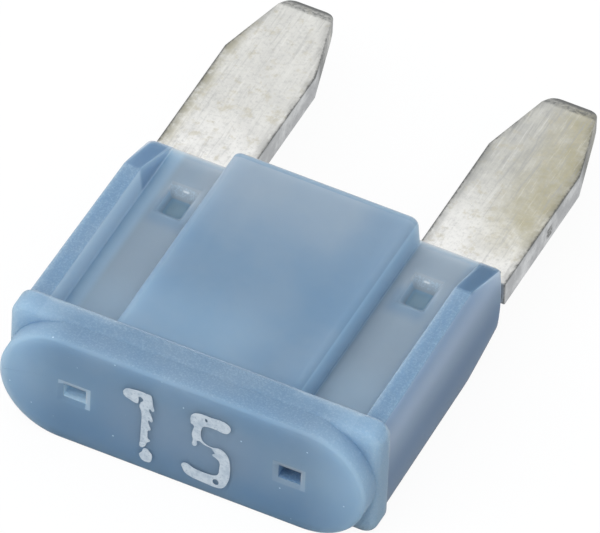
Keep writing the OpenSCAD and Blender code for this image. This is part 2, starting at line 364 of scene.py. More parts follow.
side_points = [(side_reach(h / 4), h / 4, 0) for h in range(-6, 7)]
rib_and_foot = [
    (side_reach(RIB_HALF), RIB_HALF, RIB_RADIUS),
    (RIB_INNER, RIB_HALF, RIB_RADIUS),
    (RIB_FOOT, WEB_HALF, FOOT_RADIUS),
]
lower_rib = [(x, -z, r) for x, z, r in reversed(rib_and_foot)]
half_body = lower_rib + side_points + rib_and_foot
other_half = [(-x, -z, r) for x, z, r in half_body]
body = run_along("body", rounded_outline(half_body + other_half), BODY_START, BLADE_END)
for vertex in body.data.vertices:
    if at_y(vertex.co, BLADE_END) and abs(vertex.co.x) > SIDE_FROM:
        vertex.co.x -= math.copysign(DRAW_IN, vertex.co.x)
print("body points:", len(body.data.vertices))
round_edges(body, lambda v: at_y(v, BLADE_END) and abs(v.x) > SIDE_FROM, END_RADIUS, steps=6)

# %% [markdown]
# The centre panel stands on the web. Its long edges are well rounded, its blade end only a little, and its
# walls lean out towards their feet. It is a block of its own, joined to the body afterwards.

# %% Centre panel
PANEL_HALF, PANEL_EDGE = (2.8, 1.8), 0.28
PANEL_FOOT, FOOT_SUNK = 2.9, 0.1
PANEL_START = LEDGE - 0.25
PANEL_END_RADIUS = 0.12


def panel_outline():
    corners = []
    for sx, sz in ((1, -1), (1, 1), (-1, 1), (-1, -1)):
        top = (sx * PANEL_HALF[0], sz * PANEL_HALF[1], PANEL_EDGE)
        foot = (sx * PANEL_FOOT, sz * (WEB_HALF - FOOT_SUNK), 0)
        corners += [foot, top] if sx == sz else [top, foot]
    return rounded_outline(corners, steps=8)


panel = run_along("panel", panel_outline(), PANEL_START, BLADE_END)
round_edges(panel, lambda v: at_y(v, BLADE_END), PANEL_END_RADIUS, steps=5)

# %% [markdown]
# Boolean modifiers join the blocks and cut them. First, sloping wedges take off the blade end of each rib. A
# wedge starts as a block from 0 to 1 in height: its lower corners go to the slope, its upper ones above the
# rib.

# %% Join, cut and slope
def combine(piece, tool, operation):
    """Joins a piece with a tool or cuts it, and removes the tool."""
    step = piece.modifiers.new("boolean", "BOOLEAN")
    step.operation = operation
    step.object = tool
    step.solver = "MANIFOLD"
    select_only(piece)
    bpy.ops.object.modifier_apply(modifier=step.name)
    bpy.data.objects.remove(tool)


def block(low, high):
    """A cube primitive with its corners moved to a box."""
    bpy.ops.object.select_all(action="DESELECT")
    bpy.ops.mesh.primitive_cube_add(size=2)
    piece = bpy.context.object
    for vertex in piece.data.vertices:
        vertex.co = [low[i] if vertex.co[i] < 0 else high[i] for i in range(3)]
    return piece


def turned_outwards(piece):
    select_only(piece)
    bpy.ops.object.mode_set(mode="EDIT")
    bpy.ops.mesh.select_all(action="SELECT")
    bpy.ops.mesh.normals_make_consistent(inside=False)
    bpy.ops.object.mode_set(mode="OBJECT")
    return piece


SLOPE_LOW = WEB_HALF + 0.02
WEDGE_INNER, WEDGE_OUTER = RIB_INNER - 0.18, 6.5
PAST = 0.4
SLOPE_FALL = (RIB_HALF - SLOPE_LOW) / (BLADE_END - SLOPE_START)


def slope_line(y):
    """How high the rib still is, off the middle plane, where its blade end slopes."""
    return RIB_HALF - (y - SLOPE_START) * SLOPE_FALL


for side in (-1, 1):
    for face in (-1, 1):
        across = sorted((side * WEDGE_INNER, side * WEDGE_OUTER))
        wedge = block((across[0], SLOPE_START - PAST, 0), (across[1], BLADE_END + PAST, 1))
        for vertex in wedge.data.vertices:
            height = slope_line(vertex.co.y) if vertex.co.z < 0.5 else RIB_HALF + 1
            vertex.co.z = MIDDLE + face * height
        combine(body, turned_outwards(wedge), "DIFFERENCE")

housing = flange
for part in (cap, body, panel):
    combine(housing, part, "UNION")
print("joined housing faces:", len(housing.data.polygons))

# %% [markdown]
# Inside, a slot takes the metal and a wider chamber gives the link room to melt. Both are open at the blade
# end, where the metal goes in.

# %% Slot and chamber
SLOT_HALF, SLOT_START = (4.9, 0.45), END_FACE + 1.05
CHAMBER_HALF, CHAMBER_START = (2.2, 1.15), END_FACE + 1.9
OUT = BLADE_END + 1


def tunnel(x, half, start, end):
    """A box-shaped cutter on the middle plane, from start to end along Y."""
    return block((x - half[0], start, MIDDLE - half[1]), (x + half[0], end, MIDDLE + half[1]))


combine(housing, tunnel(0, SLOT_HALF, SLOT_START, OUT), "DIFFERENCE")
combine(housing, tunnel(0, CHAMBER_HALF, CHAMBER_START, OUT), "DIFFERENCE")
print("housing faces with the slot and the chamber:", len(housing.data.polygons))

# %% [markdown]
# The two test windows let a meter's probe touch the metal, each in a sloping frame, and four pockets show
# where the punch pressed the plastic into the blades. The cutter for a frame or a pocket is a cube whose
# floor is smaller than its mouth, and it goes on above the mouth, so that it cuts cleanly.

# %% Windows and pockets
def pocket(mouth, floor, depth, turn, place):
    """A tapered cutter with its mouth at place, opening towards +Z before it is turned."""
    above = 0.2
    spread = [(m - f) / depth for m, f in zip(mouth, floor)]
    top = [m + above * s for m, s in zip(mouth, spread)]
    bpy.ops.object.select_all(action="DESELECT")
    bpy.ops.mesh.primitive_cube_add(size=2)
    piece = bpy.context.object
    for vertex in piece.data.vertices:
        size, level = (top, above) if vertex.co.z > 0 else (floor, -depth)
        vertex.co = (vertex.co.x * size[0] / 2, vertex.co.y * size[1] / 2, level)
    piece.data.transform(Matrix.Translation(place) @ turn)
    return piece


WINDOW_HALF, WINDOW_START, WINDOW_END = (0.34, 0.24), END_FACE - 0.5, END_FACE + 1.2
FRAME_MOUTH, FRAME_FLOOR, FRAME_DEPTH = (1.02, 0.82), (0.595, 0.395), 0.0625
STAKE_X, STAKE_Y = 3.7, END_FACE + 7.12
STAKE_MOUTH, STAKE_FLOOR, STAKE_DEPTH = (0.8, 1.28), (0.6, 0.6), 0.38
TO_FRONT = Matrix.Rotation(math.radians(90), 4, "X")
UPSIDE_DOWN = Matrix.Rotation(math.radians(180), 4, "X")

for side in (-1, 1):
    x = side * WINDOW_X
    combine(housing, tunnel(x, WINDOW_HALF, WINDOW_START, WINDOW_END), "DIFFERENCE")
    frame_cut = pocket(FRAME_MOUTH, FRAME_FLOOR, FRAME_DEPTH, TO_FRONT, (x, END_FACE, MIDDLE))
    combine(housing, frame_cut, "DIFFERENCE")
    for face, turn in ((1, Matrix.Identity(4)), (-1, UPSIDE_DOWN)):
        place = (side * STAKE_X, STAKE_Y, MIDDLE + face * WEB_HALF)
        combine(housing, pocket(STAKE_MOUTH, STAKE_FLOOR, STAKE_DEPTH, turn, place), "DIFFERENCE")
print("cut housing faces:", len(housing.data.polygons))

# %% [markdown]
# No moulded edge is knife sharp. The edges of the rib slopes and the window frames get a radius of a few
# hundredths of a millimetre, so that they catch the light. The pockets' rims get a larger one, because the
# punch drew the plastic in with it. Faces that meet at a small angle are then shaded as one surface, and
# weighting the normals by area keeps the flat faces flat.

# %% Last small edges
SLOPE_RADIUS, POCKET_RADIUS = 0.02, 0.11
WELD_DISTANCE = 2e-4
SMOOTH_BELOW = 28
NEARBY, ON_PLANE = 0.02, 1e-3
SLOPE_FROM = RIB_INNER - 0.3
UNDER_FLOOR = WEB_HALF - STAKE_DEPTH - 0.07


def on_slope(v):
    from_line = abs(abs(v.z - MIDDLE) - slope_line(v.y))
    return abs(v.x) > SLOPE_FROM and v.y > SLOPE_START - NEARBY / 2 and from_line < ON_PLANE


def within(v, x, y_or_z, place, size):
    """Whether a corner lies in a rectangle of this size round a place that each side of the fuse has."""
    return abs(abs(v.x) - x) < size[0] / 2 + NEARBY and abs(y_or_z - place) < size[1] / 2 + NEARBY


def on_pocket(v):
    deep = UNDER_FLOOR < abs(v.z - MIDDLE) < WEB_HALF + ON_PLANE
    return deep and within(v, STAKE_X, v.y, STAKE_Y, STAKE_MOUTH)


def on_window_frame(v):
    return at_y(v, END_FACE) and within(v, WINDOW_X, v.z, MIDDLE, FRAME_MOUTH)


def shaded_by_angle(piece, degrees):
    select_only(piece)
    bpy.ops.object.shade_smooth_by_angle(angle=math.radians(degrees))
    weights = piece.modifiers.new("normals", "WEIGHTED_NORMAL")
    weights.keep_sharp = True
    bpy.ops.object.modifier_apply(modifier=weights.name)


select_only(housing)
bpy.ops.object.mode_set(mode="EDIT")
bpy.ops.mesh.select_all(action="SELECT")
bpy.ops.mesh.remove_doubles(threshold=WELD_DISTANCE)
bpy.ops.object.mode_set(mode="OBJECT")
round_edges(housing, lambda v: on_slope(v) or on_window_frame(v), SLOPE_RADIUS, steps=2)
round_edges(housing, on_pocket, POCKET_RADIUS, steps=4)
housing.data.transform(Matrix.Scale(MM, 4))
shaded_by_angle(housing, SMOOTH_BELOW)

# %% [markdown]
# The housing is clear plastic with a milky blue dye. Light goes in, scatters and comes out a little further
# on. What lies behind a face therefore changes its colour, and that is painted on as tints: scattering also
# blurs them into each other. A few masks serve several tints, so they are made once. One of them marks the
# faces whose mould was spark eroded: the head and the flats of the ribs. They glitter finely, by a fine bump
# and by painted highlights.

# %% Masks of the housing
def add_housing_masks(spot):
    """Adds the masks that several tints share to the measures of a point."""
    spot.left = zone(spot.side, -FAR, 0)
    spot.right = zone(spot.side, 0, FAR)
    spot.behind_ledge = zone(spot.along, LEDGE + 0.1, FAR, soft=0.1)
    spot.on_face = zone(spot.along, -FAR, END_FACE + 0.2, soft=0.2)
    low_flat = zone(spot.height, WEB_HALF - 0.03, WEB_HALF + 0.05, soft=0.1)
    spot.channel = times(zone(spot.across, PANEL_FOOT + 0.2, RIB_FOOT - 0.4, soft=0.4), low_flat)
    rib_top = times(zone(spot.height, RIB_HALF - 0.04, FAR), zone(spot.across, RIB_INNER - 0.04, FAR))
    spot.rib_flat = times(rib_top, zone(spot.along, -FAR, SLOPE_START))
    spot.eroded = either(zone(spot.along, END_FACE + 0.08, LEDGE), spot.rib_flat)
    spot.fine = noise(spot.point, scale=17.0, detail=4.0, roughness=0.7)


# %% [markdown]
# The body is one blue with faint clouds. The channels look greyer, because the zinc lies just under them.
# The blade end is painted paler, a painted glow of the light that enters there, and the rounded blade-end
# edges of the panel and the web get a painted shade of deeper blue. Close to the head, painted light from
# the head's own walls brightens the flats, and on the left it gathers in the channel at the foot of the rib.

# %% Tints of the panel and the channels
BLUE = colour(118, 146, 171)
GREYED = colour(150, 165, 178)
PALE = colour(176, 184, 190)
LIT_WALL = colour(160, 190, 214)


def tint_flats(base, spot):
    clouds = noise(spot.point, scale=0.45, detail=3.0)
    base = paint(base, GREYED, 0.25, fade(clouds, 0.35, 0.7))
    base = paint(base, GREYED, 0.85, spot.channel, spot.behind_ledge)
    # painted light: the blade end glows paler
    far_end_glow = zone(spot.along, BLADE_END - 0.3, FAR, soft=3.9)
    base = paint(base, PALE, 0.45, far_end_glow, zone(spot.side, -2.9, 1.0, soft=1.0))
    base = paint(base, PALE, 0.2, far_end_glow, zone(spot.side, 2.0, 4.6, soft=1.0))
    # painted shade along the rounded blade-end edges of the panel and the web
    panel_rim_shade = zone(spot.along, BLADE_END - 0.2, BLADE_END - 0.08)
    base = paint(base, BLUE, 0.8, panel_rim_shade, zone(spot.height, 1.6, FAR))
    web_rim_shade = zone(spot.along, BLADE_END - 0.1, FAR, soft=0.15)
    base = paint(base, BLUE, 0.6, web_rim_shade, zone(spot.height, -1, WEB_HALF + 0.05))
    near_head = times(spot.behind_ledge, zone(spot.along, -FAR, LEDGE + 1, soft=2))
    on_panel = times(zone(spot.height, 1.2, FAR, soft=0.3), near_head)
    base = paint(base, LIT_WALL, 0.25, on_panel, zone(spot.side, -2.85, 0, soft=2))
    base = paint(base, LIT_WALL, 0.3, near_head, spot.channel)
    beside_rib = zone(spot.across, RIB_FOOT - 0.3, RIB_FOOT + 0.02, soft=0.25)
    foot = times(beside_rib, zone(spot.height, WEB_HALF - 0.05, WEB_HALF + 0.05, soft=0.05))
    return paint(base, LIT_WALL, 0.6, spot.behind_ledge, foot, spot.left)


# %% [markdown]
# Light that enters from above comes out at the standing walls, so they are painted lighter than the flats.
# The sides get painted light, lavender where the light meets them, and painted shade, deeper towards the
# table and at their upper edge. The slopes of the ribs face away from the light and get painted shade.

# %% Tints of the walls, the sides and the slopes
DEEP = colour(68, 108, 147)
SHADED = colour(68, 98, 124)
LAVENDER = colour(194, 209, 225)
LIT_RIB = colour(182, 202, 218)


def tint_walls(base, spot):
    on_walls = times(zone(spot.height, WEB_HALF + 0.02, RIB_HALF - 0.08, soft=0.08), spot.behind_ledge)
    panel_wall = zone(spot.across, PANEL_HALF[0], PANEL_FOOT + 0.01, soft=0.03)
    # painted light on the standing walls of the panel and the ribs
    base = paint(base, LIT_WALL, 0.55, on_walls, panel_wall)
    rib_wall = zone(spot.across, RIB_FOOT - 0.01, RIB_INNER, soft=0.02)
    base = paint(base, LIT_RIB, 0.7, on_walls, rib_wall)
    below_rib_top = zone(spot.height, -1, RIB_HALF - 0.08, soft=0.06)
    bulge = times(zone(spot.across, 5.32, FAR, soft=0.08), below_rib_top)
    on_side = times(bulge, spot.behind_ledge)
    # painted light and painted shade on the bulging sides
    base = paint(base, LAVENDER, 0.9, on_side)
    base = paint(base, DEEP, 0.84, on_side, zone(spot.off, -FAR, -0.6, soft=2.6))
    base = paint(base, DEEP, 0.55, on_side, zone(spot.off, 1.7, FAR, soft=0.9))
    # painted shade on the slopes of the ribs
    slope = times(zone(spot.across, 4.72, 5.28), zone(spot.along, SLOPE_START + 0.1, FAR, soft=0.2))
    base = paint(base, DEEP, 0.5, slope)
    return paint(base, SHADED, 0.6, slope, spot.right)


# %% [markdown]
# The walls of each pocket get painted light, most on the upper wall towards the blades, where painted
# highlights show the punch's marks and one painted glint sits. The floor of a pocket is bluer, and so is a
# patch just outside it, towards the head.

# %% Tints of the pressed pockets
# painted light on facets and walls, and also the colour of dust on the end face
FACET_LIGHT_AND_DUST = colour(196, 218, 234)
POCKET_BLUE = colour(144, 182, 214)
GLINT = colour(236, 243, 247)


def tint_pockets(base, spot):
    in_pocket = times(near(spot.across, STAKE_X, 0.42), near(spot.along, STAKE_Y, 0.68))
    # a bluer patch beside each pocket, towards the head
    beside_pocket_patch = times(zone(spot.across, STAKE_X - 0.4, STAKE_X + 0.3, soft=0.45),
                     zone(spot.along, STAKE_Y - 0.8, STAKE_Y - 0.3, soft=0.5))
    upper = zone(spot.height, 0.6, 0.92)
    base = paint(base, BLUE, 0.6, beside_pocket_patch, spot.channel)
    # painted light on the pocket walls
    base = paint(base, FACET_LIGHT_AND_DUST, 0.25, in_pocket, zone(spot.height, 0.64, 0.86))
    # painted light on the upper wall towards the blades
    base = paint(base, PALE, 0.45, in_pocket, upper, zone(spot.along, STAKE_Y + 0.34, STAKE_Y + 0.64))
    base = paint(base, POCKET_BLUE, 0.95, in_pocket, zone(spot.height, 0.3, 0.6))
    # painted highlights: reflections of the punch marks
    mark_highlights = times(zone(spot.along, STAKE_Y + 0.42, STAKE_Y + 0.58), fade(spot.fine, 0.48, 0.56))
    base = paint(base, FACET_LIGHT_AND_DUST, 0.35, in_pocket, upper, mark_highlights)
    # a painted glint high on that wall
    high_on_wall = zone(spot.along, STAKE_Y + 0.52, STAKE_Y + 0.53, soft=0.025)
    painted_glint = times(high_on_wall, zone(spot.height, 0.7, 0.95))
    return paint(base, GLINT, 0.8, in_pocket, painted_glint, zone(spot.across, 3.62, 3.72, soft=0.08))


# %% [markdown]
# The round ends of the head get painted light, as they let more light through, and its lower edge gets
# painted shade. The link behind the middle of the end face makes it a little greyer. Each test window has a
# frame of four slopes, of which the upper and the right one get painted light, and a hole that ends at the
# metal. The holes are painted a light blue against their own shade, and the right one is painted darker.

# %% Tints of the head
WARM_GREY = colour(128, 148, 170)
PAINTED_HOLE_LIGHT = colour(170, 198, 220)


def tint_head(base, spot):
    # painted light on the round ends of the head
    base = paint(base, LIT_WALL, 0.55, zone(spot.along, -FAR, LEDGE), zone(spot.across, 5.2, FAR, soft=1.8))
    # painted shade towards the lower edge of the end face
    base = paint(base, DEEP, 0.38, spot.on_face, zone(spot.off, -FAR, -1.8, soft=2.4))
    link_shows = times(zone(spot.across, -1, 1.6, soft=1.4), zone(spot.height, -1, 0.3, soft=1.0))
    base = paint(base, WARM_GREY, 0.45, spot.on_face, link_shows)
    in_window = times(near(spot.across, WINDOW_X, 0.5, soft=0.02), zone(spot.height, -1, 0.4, soft=0.02))
    facets = times(in_window, zone(spot.along, END_FACE + 0.01, END_FACE + 0.05, soft=0.008))
    hole = times(in_window, zone(spot.along, END_FACE + 0.07, WINDOW_END, soft=0.01))
    to_right = times(sums("SUBTRACT", spot.across, WINDOW_X), sums("SIGN", spot.side))
    lit = times(facets, either(zone(spot.off, 0.26, FAR), zone(to_right, 0.36, FAR)))
    base = paint(base, PALE, 0.15, facets, spot.right)
    base = paint(base, FACET_LIGHT_AND_DUST, 0.45, lit, spot.left)
    base = paint(base, FACET_LIGHT_AND_DUST, 0.1, lit, spot.right)
    # painted light in the window holes, and painted shade in the right one
    base = paint(base, PAINTED_HOLE_LIGHT, 1.0, hole)
    return paint(base, DEEP, 0.8, hole, spot.right)


# %% [markdown]
# The eroded faces are flecked with fine painted highlights, their glitter. A few grains of dust lie on the
# end face, and the edge of the ledge gets a thin line of painted shade.

# %% Painted glitter, dust and a line of painted shade
GLITTER_HIGHLIGHT = colour(184, 204, 220)


def tint_glitter_dust_and_shade(base, spot):
    base = paint(base, DEEP, 0.12, spot.rib_flat)
    # painted highlights: the glitter of the eroded faces
    base = paint(base, GLITTER_HIGHLIGHT, 0.22, fade(spot.fine, 0.45, 0.68), spot.eroded)
    dust = add(spot.point.id_data, "TexVoronoi", {"Vector": spot.point, "Scale": 2.0})
    base = paint(base, FACET_LIGHT_AND_DUST, 0.8, spot.on_face, fade(dust, 0.06, 0.04))
    # painted shade along the edge of the ledge
    ledge_shade = zone(spot.along, LEDGE - 0.06, LEDGE + 0.01, soft=0.02)
    return paint(base, DEEP, 0.4, ledge_shade, zone(spot.height, 1.7, FAR))


# %% [markdown]
# The shader lets nine tenths of the light scatter below the surface, over a distance of about two
# millimetres, alike for all colours. Its gloss is weak. One bump is a slow swell, as moulded faces have, and
# the other is the fine erosion, which is also a little rougher.

# %% Milky blue plastic
SCATTER_SHARE, SCATTER_REACH = 0.9, 1.8 * MM
PLASTIC_IOR, PLASTIC_GLOSS = 1.5, 0.12
SWELL_DEPTH, EROSION_DEPTH = 4e-6, 1.6e-5


def milky_plastic():
    material, shader = new_material("milky_blue_plastic")
    tree = material.node_tree
    spot = places(tree)
    add_housing_masks(spot)
    base = BLUE
    for tint in (tint_flats, tint_walls, tint_pockets, tint_head, tint_glitter_dust_and_shade):
        base = tint(base, spot)
        print("nodes after", tint.__name__, len(tree.nodes))
    swell = noise(spot.point, scale=1.1, detail=1.0)
    soft = add(tree, "Bump", {"Height": swell, "Strength": 0.25, "Distance": SWELL_DEPTH})
    erosion = {"Height": spot.fine, "Strength": spot.eroded, "Distance": EROSION_DEPTH, "Normal": soft}
    fill(shader, {
        "Base Color": base,
        "Normal": add(tree, "Bump", erosion),
        "Roughness": between(spot.eroded, 0.45, 0.55),
        "IOR": PLASTIC_IOR,
        "Specular IOR Level": PLASTIC_GLOSS,
        "Subsurface Weight": SCATTER_SHARE,
        "Subsurface Radius": (1.0, 1.0, 1.0),
        "Subsurface Scale": SCATTER_REACH,
    })
    return material


housing.data.materials.clear()
housing.data.materials.append(milky_plastic())
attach(housing, "root")
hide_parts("housing")

# %% [markdown]
# A mesh that stands for a solid thing has no open edges, and only then does it have a true volume. Both are
# measured here.

# %% Is the housing closed?
CUBIC_MM = 1e-9

check = bmesh.new()
check.from_mesh(housing.data)
open_edges = sum(not edge.is_manifold for edge in check.edges)
volume = check.calc_volume() / CUBIC_MM
print("housing faces: %d, open edges: %d, volume %.1f mm3" % (len(check.faces), open_edges, volume))
check.free()

# %% [markdown]
# Zinc strip is rolled, then stamped. Rolling leaves fine lines along the strip and handling leaves scratches
# and yellowish stains. Stretching a noise along one axis gives the lines, and wider noises give the stains
# and the cloudy patches. The right blade is more worn than the left one, with an olive stain on its outer
# half, and both are clean close to the housing.

# %% Tints of the rolled faces
ZINC = colour(226, 226, 222)
CLEAN_ZINC = colour(246, 246, 244)
WORN_ZINC = colour(204, 204, 198)
SMUDGE = colour(178, 179, 178)
STAIN = colour(196, 190, 168)
OLIVE = colour(180, 174, 142)


def add_zinc_masks(spot):
    """Adds the noises of the metal, and the mask of the right blade's outer half."""
    stretched = add(spot.point.id_data, "Mapping", {"Vector": spot.point, "Scale": (11.0, 0.6, 11.0)})
    spot.lines = noise(stretched, scale=1.0, detail=5.0, roughness=0.7)
    spot.patches = noise(spot.point, scale=1.3, detail=5.0, roughness=0.65)
    spot.grain = noise(spot.point, scale=9.0, detail=3.0, roughness=0.7)
    spot.worn = times(fade(spot.side, 1.0, 2.0), fade(spot.along, 2.8, 5.2))


def rolled_faces(spot):
    base = paint(ZINC, CLEAN_ZINC, 0.85, fade(spot.along, 4.0, 1.5))
    base = blend(spot.worn, base, WORN_ZINC)
    base = paint(base, SMUDGE, between(spot.worn, 0.25, 0.6), fade(spot.patches, 0.4, 0.7))
    stained = times(fade(spot.side, 3.3, 4.8), fade(spot.along, 0.9, 3.4))
    base = paint(base, OLIVE, 0.8, stained, fade(spot.patches, 0.15, 0.65))
    base = paint(base, OLIVE, 0.7, fade(spot.side, -4.9, -5.4), fade(spot.patches, 0.35, 0.6))
    base = paint(base, SMUDGE, 0.4, fade(spot.grain, 0.45, 0.75))
    stains = noise(spot.point, scale=2.2, detail=4.0, roughness=0.7)
    base = paint(base, STAIN, 0.5, fade(stains, 0.52, 0.68))
    base = paint(base, SMUDGE, between(spot.worn, 0.4, 0.9), fade(spot.lines, 0.5, 0.72))
    return paint(base, CLEAN_ZINC, 0.3, fade(spot.lines, 0.46, 0.3))


# %% [markdown]
# The punch leaves cut edges that are duller than the faces, and they are also painted darker, as painted
# shade. Dirt and painted shade darken the rim between the two, a softer band beside it and the bevelled tips.
# How far a point is from the nearest edge follows from the blade's outline, which narrows towards its tip.
# There is also one nick, on the cut edge of the right blade.

# %% Tints of the cut edges and the tips
CUT_LIGHT = colour(204, 206, 207)
CUT_DARK = colour(170, 172, 174)
GRIME_AND_SHADE = colour(96, 98, 98)
BLADE_X, BLADE_HALF, TIP_HALF = 4.05, 1.4, 0.775
TIP = 8.165
TAPER_START, BEVEL_START = TIP - 2.65, TIP - 0.5
DARK_RIM_WAVE = 0.14


def with_edges(base, spot):
    """Rims of dirt and painted shade on the faces' colour, and the cut edges' colour beyond them."""
    taper = {"From Min": TAPER_START, "From Max": TIP, "To Min": BLADE_HALF, "To Max": TIP_HALF}
    half_width = add(spot.point.id_data, "MapRange", {"Value": spot.along, **taper})
    off_centre = sums("ABSOLUTE", sums("SUBTRACT", spot.across, BLADE_X))
    to_edge = sums("SUBTRACT", half_width, off_centre)
    wavy = sums("MULTIPLY_ADD", spot.grain, DARK_RIM_WAVE, to_edge)
    # dirt and painted shade: a dark rim along the edges, and a softer band inside it
    base = paint(base, GRIME_AND_SHADE, 0.95, fade(wavy, 0.17, 0.08))
    base = paint(base, GRIME_AND_SHADE, 0.4, fade(wavy, 0.4, 0.1), fade(spot.patches, 0.3, 0.6))

    # the cut edges: duller metal, and painted darker as painted shade
    cut = blend(fade(spot.patches, 0.35, 0.6), CUT_LIGHT, CUT_DARK)
    cut = paint(cut, GRIME_AND_SHADE, 0.35, fade(spot.grain, 0.55, 0.75))
    nick = times(zone(spot.side, 5.3, FAR), zone(spot.along, 3.5, 3.7, soft=0.12))
    cut = paint(cut, GRIME_AND_SHADE, 1.0, nick, zone(spot.off, -0.16, 0.08, soft=0.1), fade(spot.grain, 0.35, 0.5))
    base = blend(fade(to_edge, 0.0, 0.03), cut, base)

    # dirt and painted shade on the bevelled tip, darkest at its end
    bevel = zone(spot.along, BEVEL_START + 0.1, FAR, soft=0.15)
    base = paint(base, GRIME_AND_SHADE, 0.45, bevel)
    base = paint(base, GRIME_AND_SHADE, 0.6, bevel, fade(spot.grain, 0.45, 0.6))
    return paint(base, GRIME_AND_SHADE, 0.95, zone(spot.along, TIP - 0.1, FAR, soft=0.15))


# %% [markdown]
# Metal takes its whole colour from what it mirrors. The rolling lines show in the tints, in how rough the
# metal is and as a shallow bump.

# %% Rolled zinc
LINE_DEPTH = 6e-6


def rolled_zinc():
    material, shader = new_material("rolled_zinc")
    tree = material.node_tree
    spot = places(tree)
    add_zinc_masks(spot)
    fill(shader, {
        "Base Color": with_edges(rolled_faces(spot), spot),
        "Normal": add(tree, "Bump", {"Height": spot.lines, "Strength": 0.5, "Distance": LINE_DEPTH}),
        "Roughness": between(spot.lines, 0.3, 0.55),
        "Metallic": 1.0,
    })
    print("zinc nodes:", len(tree.nodes))
    return material


# %% [markdown]
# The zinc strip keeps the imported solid's mesh. Its loose triangles are merged into one skin, flat areas are
# dissolved back into single faces, and a small bevel rounds the edges that the punch left.

# %% Zinc element
PUNCH_RADIUS = 0.04 * MM
MERGE_DISTANCE = 1e-6
FLAT_WITHIN, ROUND_ABOVE, METAL_SMOOTH_BELOW = 0.6, 30, 35


def softened_copy(node, name, radius, steps):
    """A copy of a solid's mesh, merged, with its sharper edges rounded."""
    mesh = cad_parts[node].data.copy()
    mesh.materials.clear()
    piece = bpy.data.objects.new(name, mesh)
    bpy.context.scene.collection.objects.link(piece)
    select_only(piece)
    bpy.ops.object.mode_set(mode="EDIT")
    bpy.ops.mesh.select_all(action="SELECT")
    bpy.ops.mesh.remove_doubles(threshold=MERGE_DISTANCE)
    bpy.ops.mesh.dissolve_limited(angle_limit=math.radians(FLAT_WITHIN))
    bpy.ops.object.mode_set(mode="OBJECT")
    bevel = piece.modifiers.new("edges", "BEVEL")
    bevel.width = radius
    bevel.segments = steps
    bevel.limit_method = "ANGLE"
    bevel.angle_limit = math.radians(ROUND_ABOVE)
    bevel.use_clamp_overlap = False
    bpy.ops.object.modifier_apply(modifier=bevel.name)
    print(name, "faces:", len(piece.data.polygons))
    return piece


element = softened_copy("fuse_element", "zinc_element", PUNCH_RADIUS, steps=2)
shaded_by_angle(element, METAL_SMOOTH_BELOW)
element.data.materials.append(rolled_zinc())
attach(element, "root")
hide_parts("fuse_element")

# %% [markdown]
# The number is pad printed, and on this fuse the ink is worn: the foot of the one has come off in a separate
# blob, its right edge is torn, and the five hangs together by a thread. A smooth closed curve through a few
# listed points follows each torn outline, and a curve inside another one is a hole. Ink has hardly
# any thickness, so the flat shape is about a hundredth of a millimetre thick, with a rounded rim.

# %% Worn figures
INK_DEPTH = 0.008 * MM
RIM = 0.006 * MM
ONE = [
    (-1.76, 2.85), (-1.64, 2.95), (-1.49, 2.98), (-1.32, 3.01), (-1.06, 3.0), (-0.95, 2.99), (-0.9, 2.86),
    (-0.88, 2.7), (-0.88, 2.4), (-0.96, 2.47), (-0.98, 2.39), (-0.91, 2.23), (-0.9, 1.98), (-0.98, 2.02),
    (-0.96, 1.83), (-0.92, 1.66), (-0.99, 1.62), (-1.0, 1.46), (-0.99, 1.31), (-0.92, 1.25), (-1.01, 1.14),
    (-1.07, 0.97), (-1.18, 0.89), (-1.23, 0.93), (-1.22, 1.12), (-1.21, 1.69), (-1.22, 2.27), (-1.28, 2.45),
    (-1.24, 2.6), (-1.17, 2.7), (-1.22, 2.79), (-1.3, 2.79), (-1.31, 2.65), (-1.34, 2.52), (-1.4, 2.51),
    (-1.57, 2.56), (-1.71, 2.61), (-1.77, 2.69),
]
BLOB = [
    (-1.1, 0.87), (-1.0, 0.89), (-0.93, 0.82), (-0.85, 0.73), (-0.85, 0.59), (-0.89, 0.44), (-0.99, 0.39),
    (-1.14, 0.42), (-1.2, 0.5), (-1.23, 0.6), (-1.15, 0.73),
]
FIVE = [
    (0.26, 2.73), (0.32, 2.9), (0.45, 2.99), (0.9, 3.02), (1.16, 3.04), (1.36, 3.0), (1.47, 2.88),
    (1.42, 2.68), (1.31, 2.61), (1.03, 2.63), (0.72, 2.6), (0.64, 2.54), (0.6, 2.4), (0.59, 2.21),
    (0.62, 2.07), (0.69, 1.97), (0.79, 1.91), (0.94, 1.89), (1.05, 1.92), (1.2, 1.94), (1.34, 1.86),
    (1.44, 1.72), (1.49, 1.52), (1.51, 1.21), (1.49, 0.93), (1.43, 0.71), (1.36, 0.55), (1.25, 0.45),
    (1.07, 0.41), (0.84, 0.42), (0.57, 0.44), (0.34, 0.47), (0.16, 0.55), (0.07, 0.72), (0.04, 0.79),
    (0.11, 0.9), (0.23, 0.92), (0.37, 0.85), (0.58, 0.81), (0.82, 0.81), (1.05, 0.85), (1.15, 0.95),
    (1.18, 1.17), (1.17, 1.45), (1.07, 1.54), (0.96, 1.61), (1.03, 1.71), (0.96, 1.8), (0.94, 1.85),
    (0.79, 1.87), (0.67, 1.9), (0.56, 1.96), (0.48, 1.93), (0.49, 1.84), (0.44, 1.72), (0.36, 1.72),
    (0.36, 1.95), (0.32, 2.13), (0.35, 2.31), (0.37, 2.48), (0.29, 2.53), (0.27, 2.61),
]
HOLE = [(1.0, 0.63), (1.07, 0.72), (1.16, 0.69), (1.18, 0.6), (1.13, 0.52), (1.04, 0.53)]
FLECK = [(0.7, 2.88), (0.73, 2.91), (0.77, 2.8), (0.73, 2.79)]


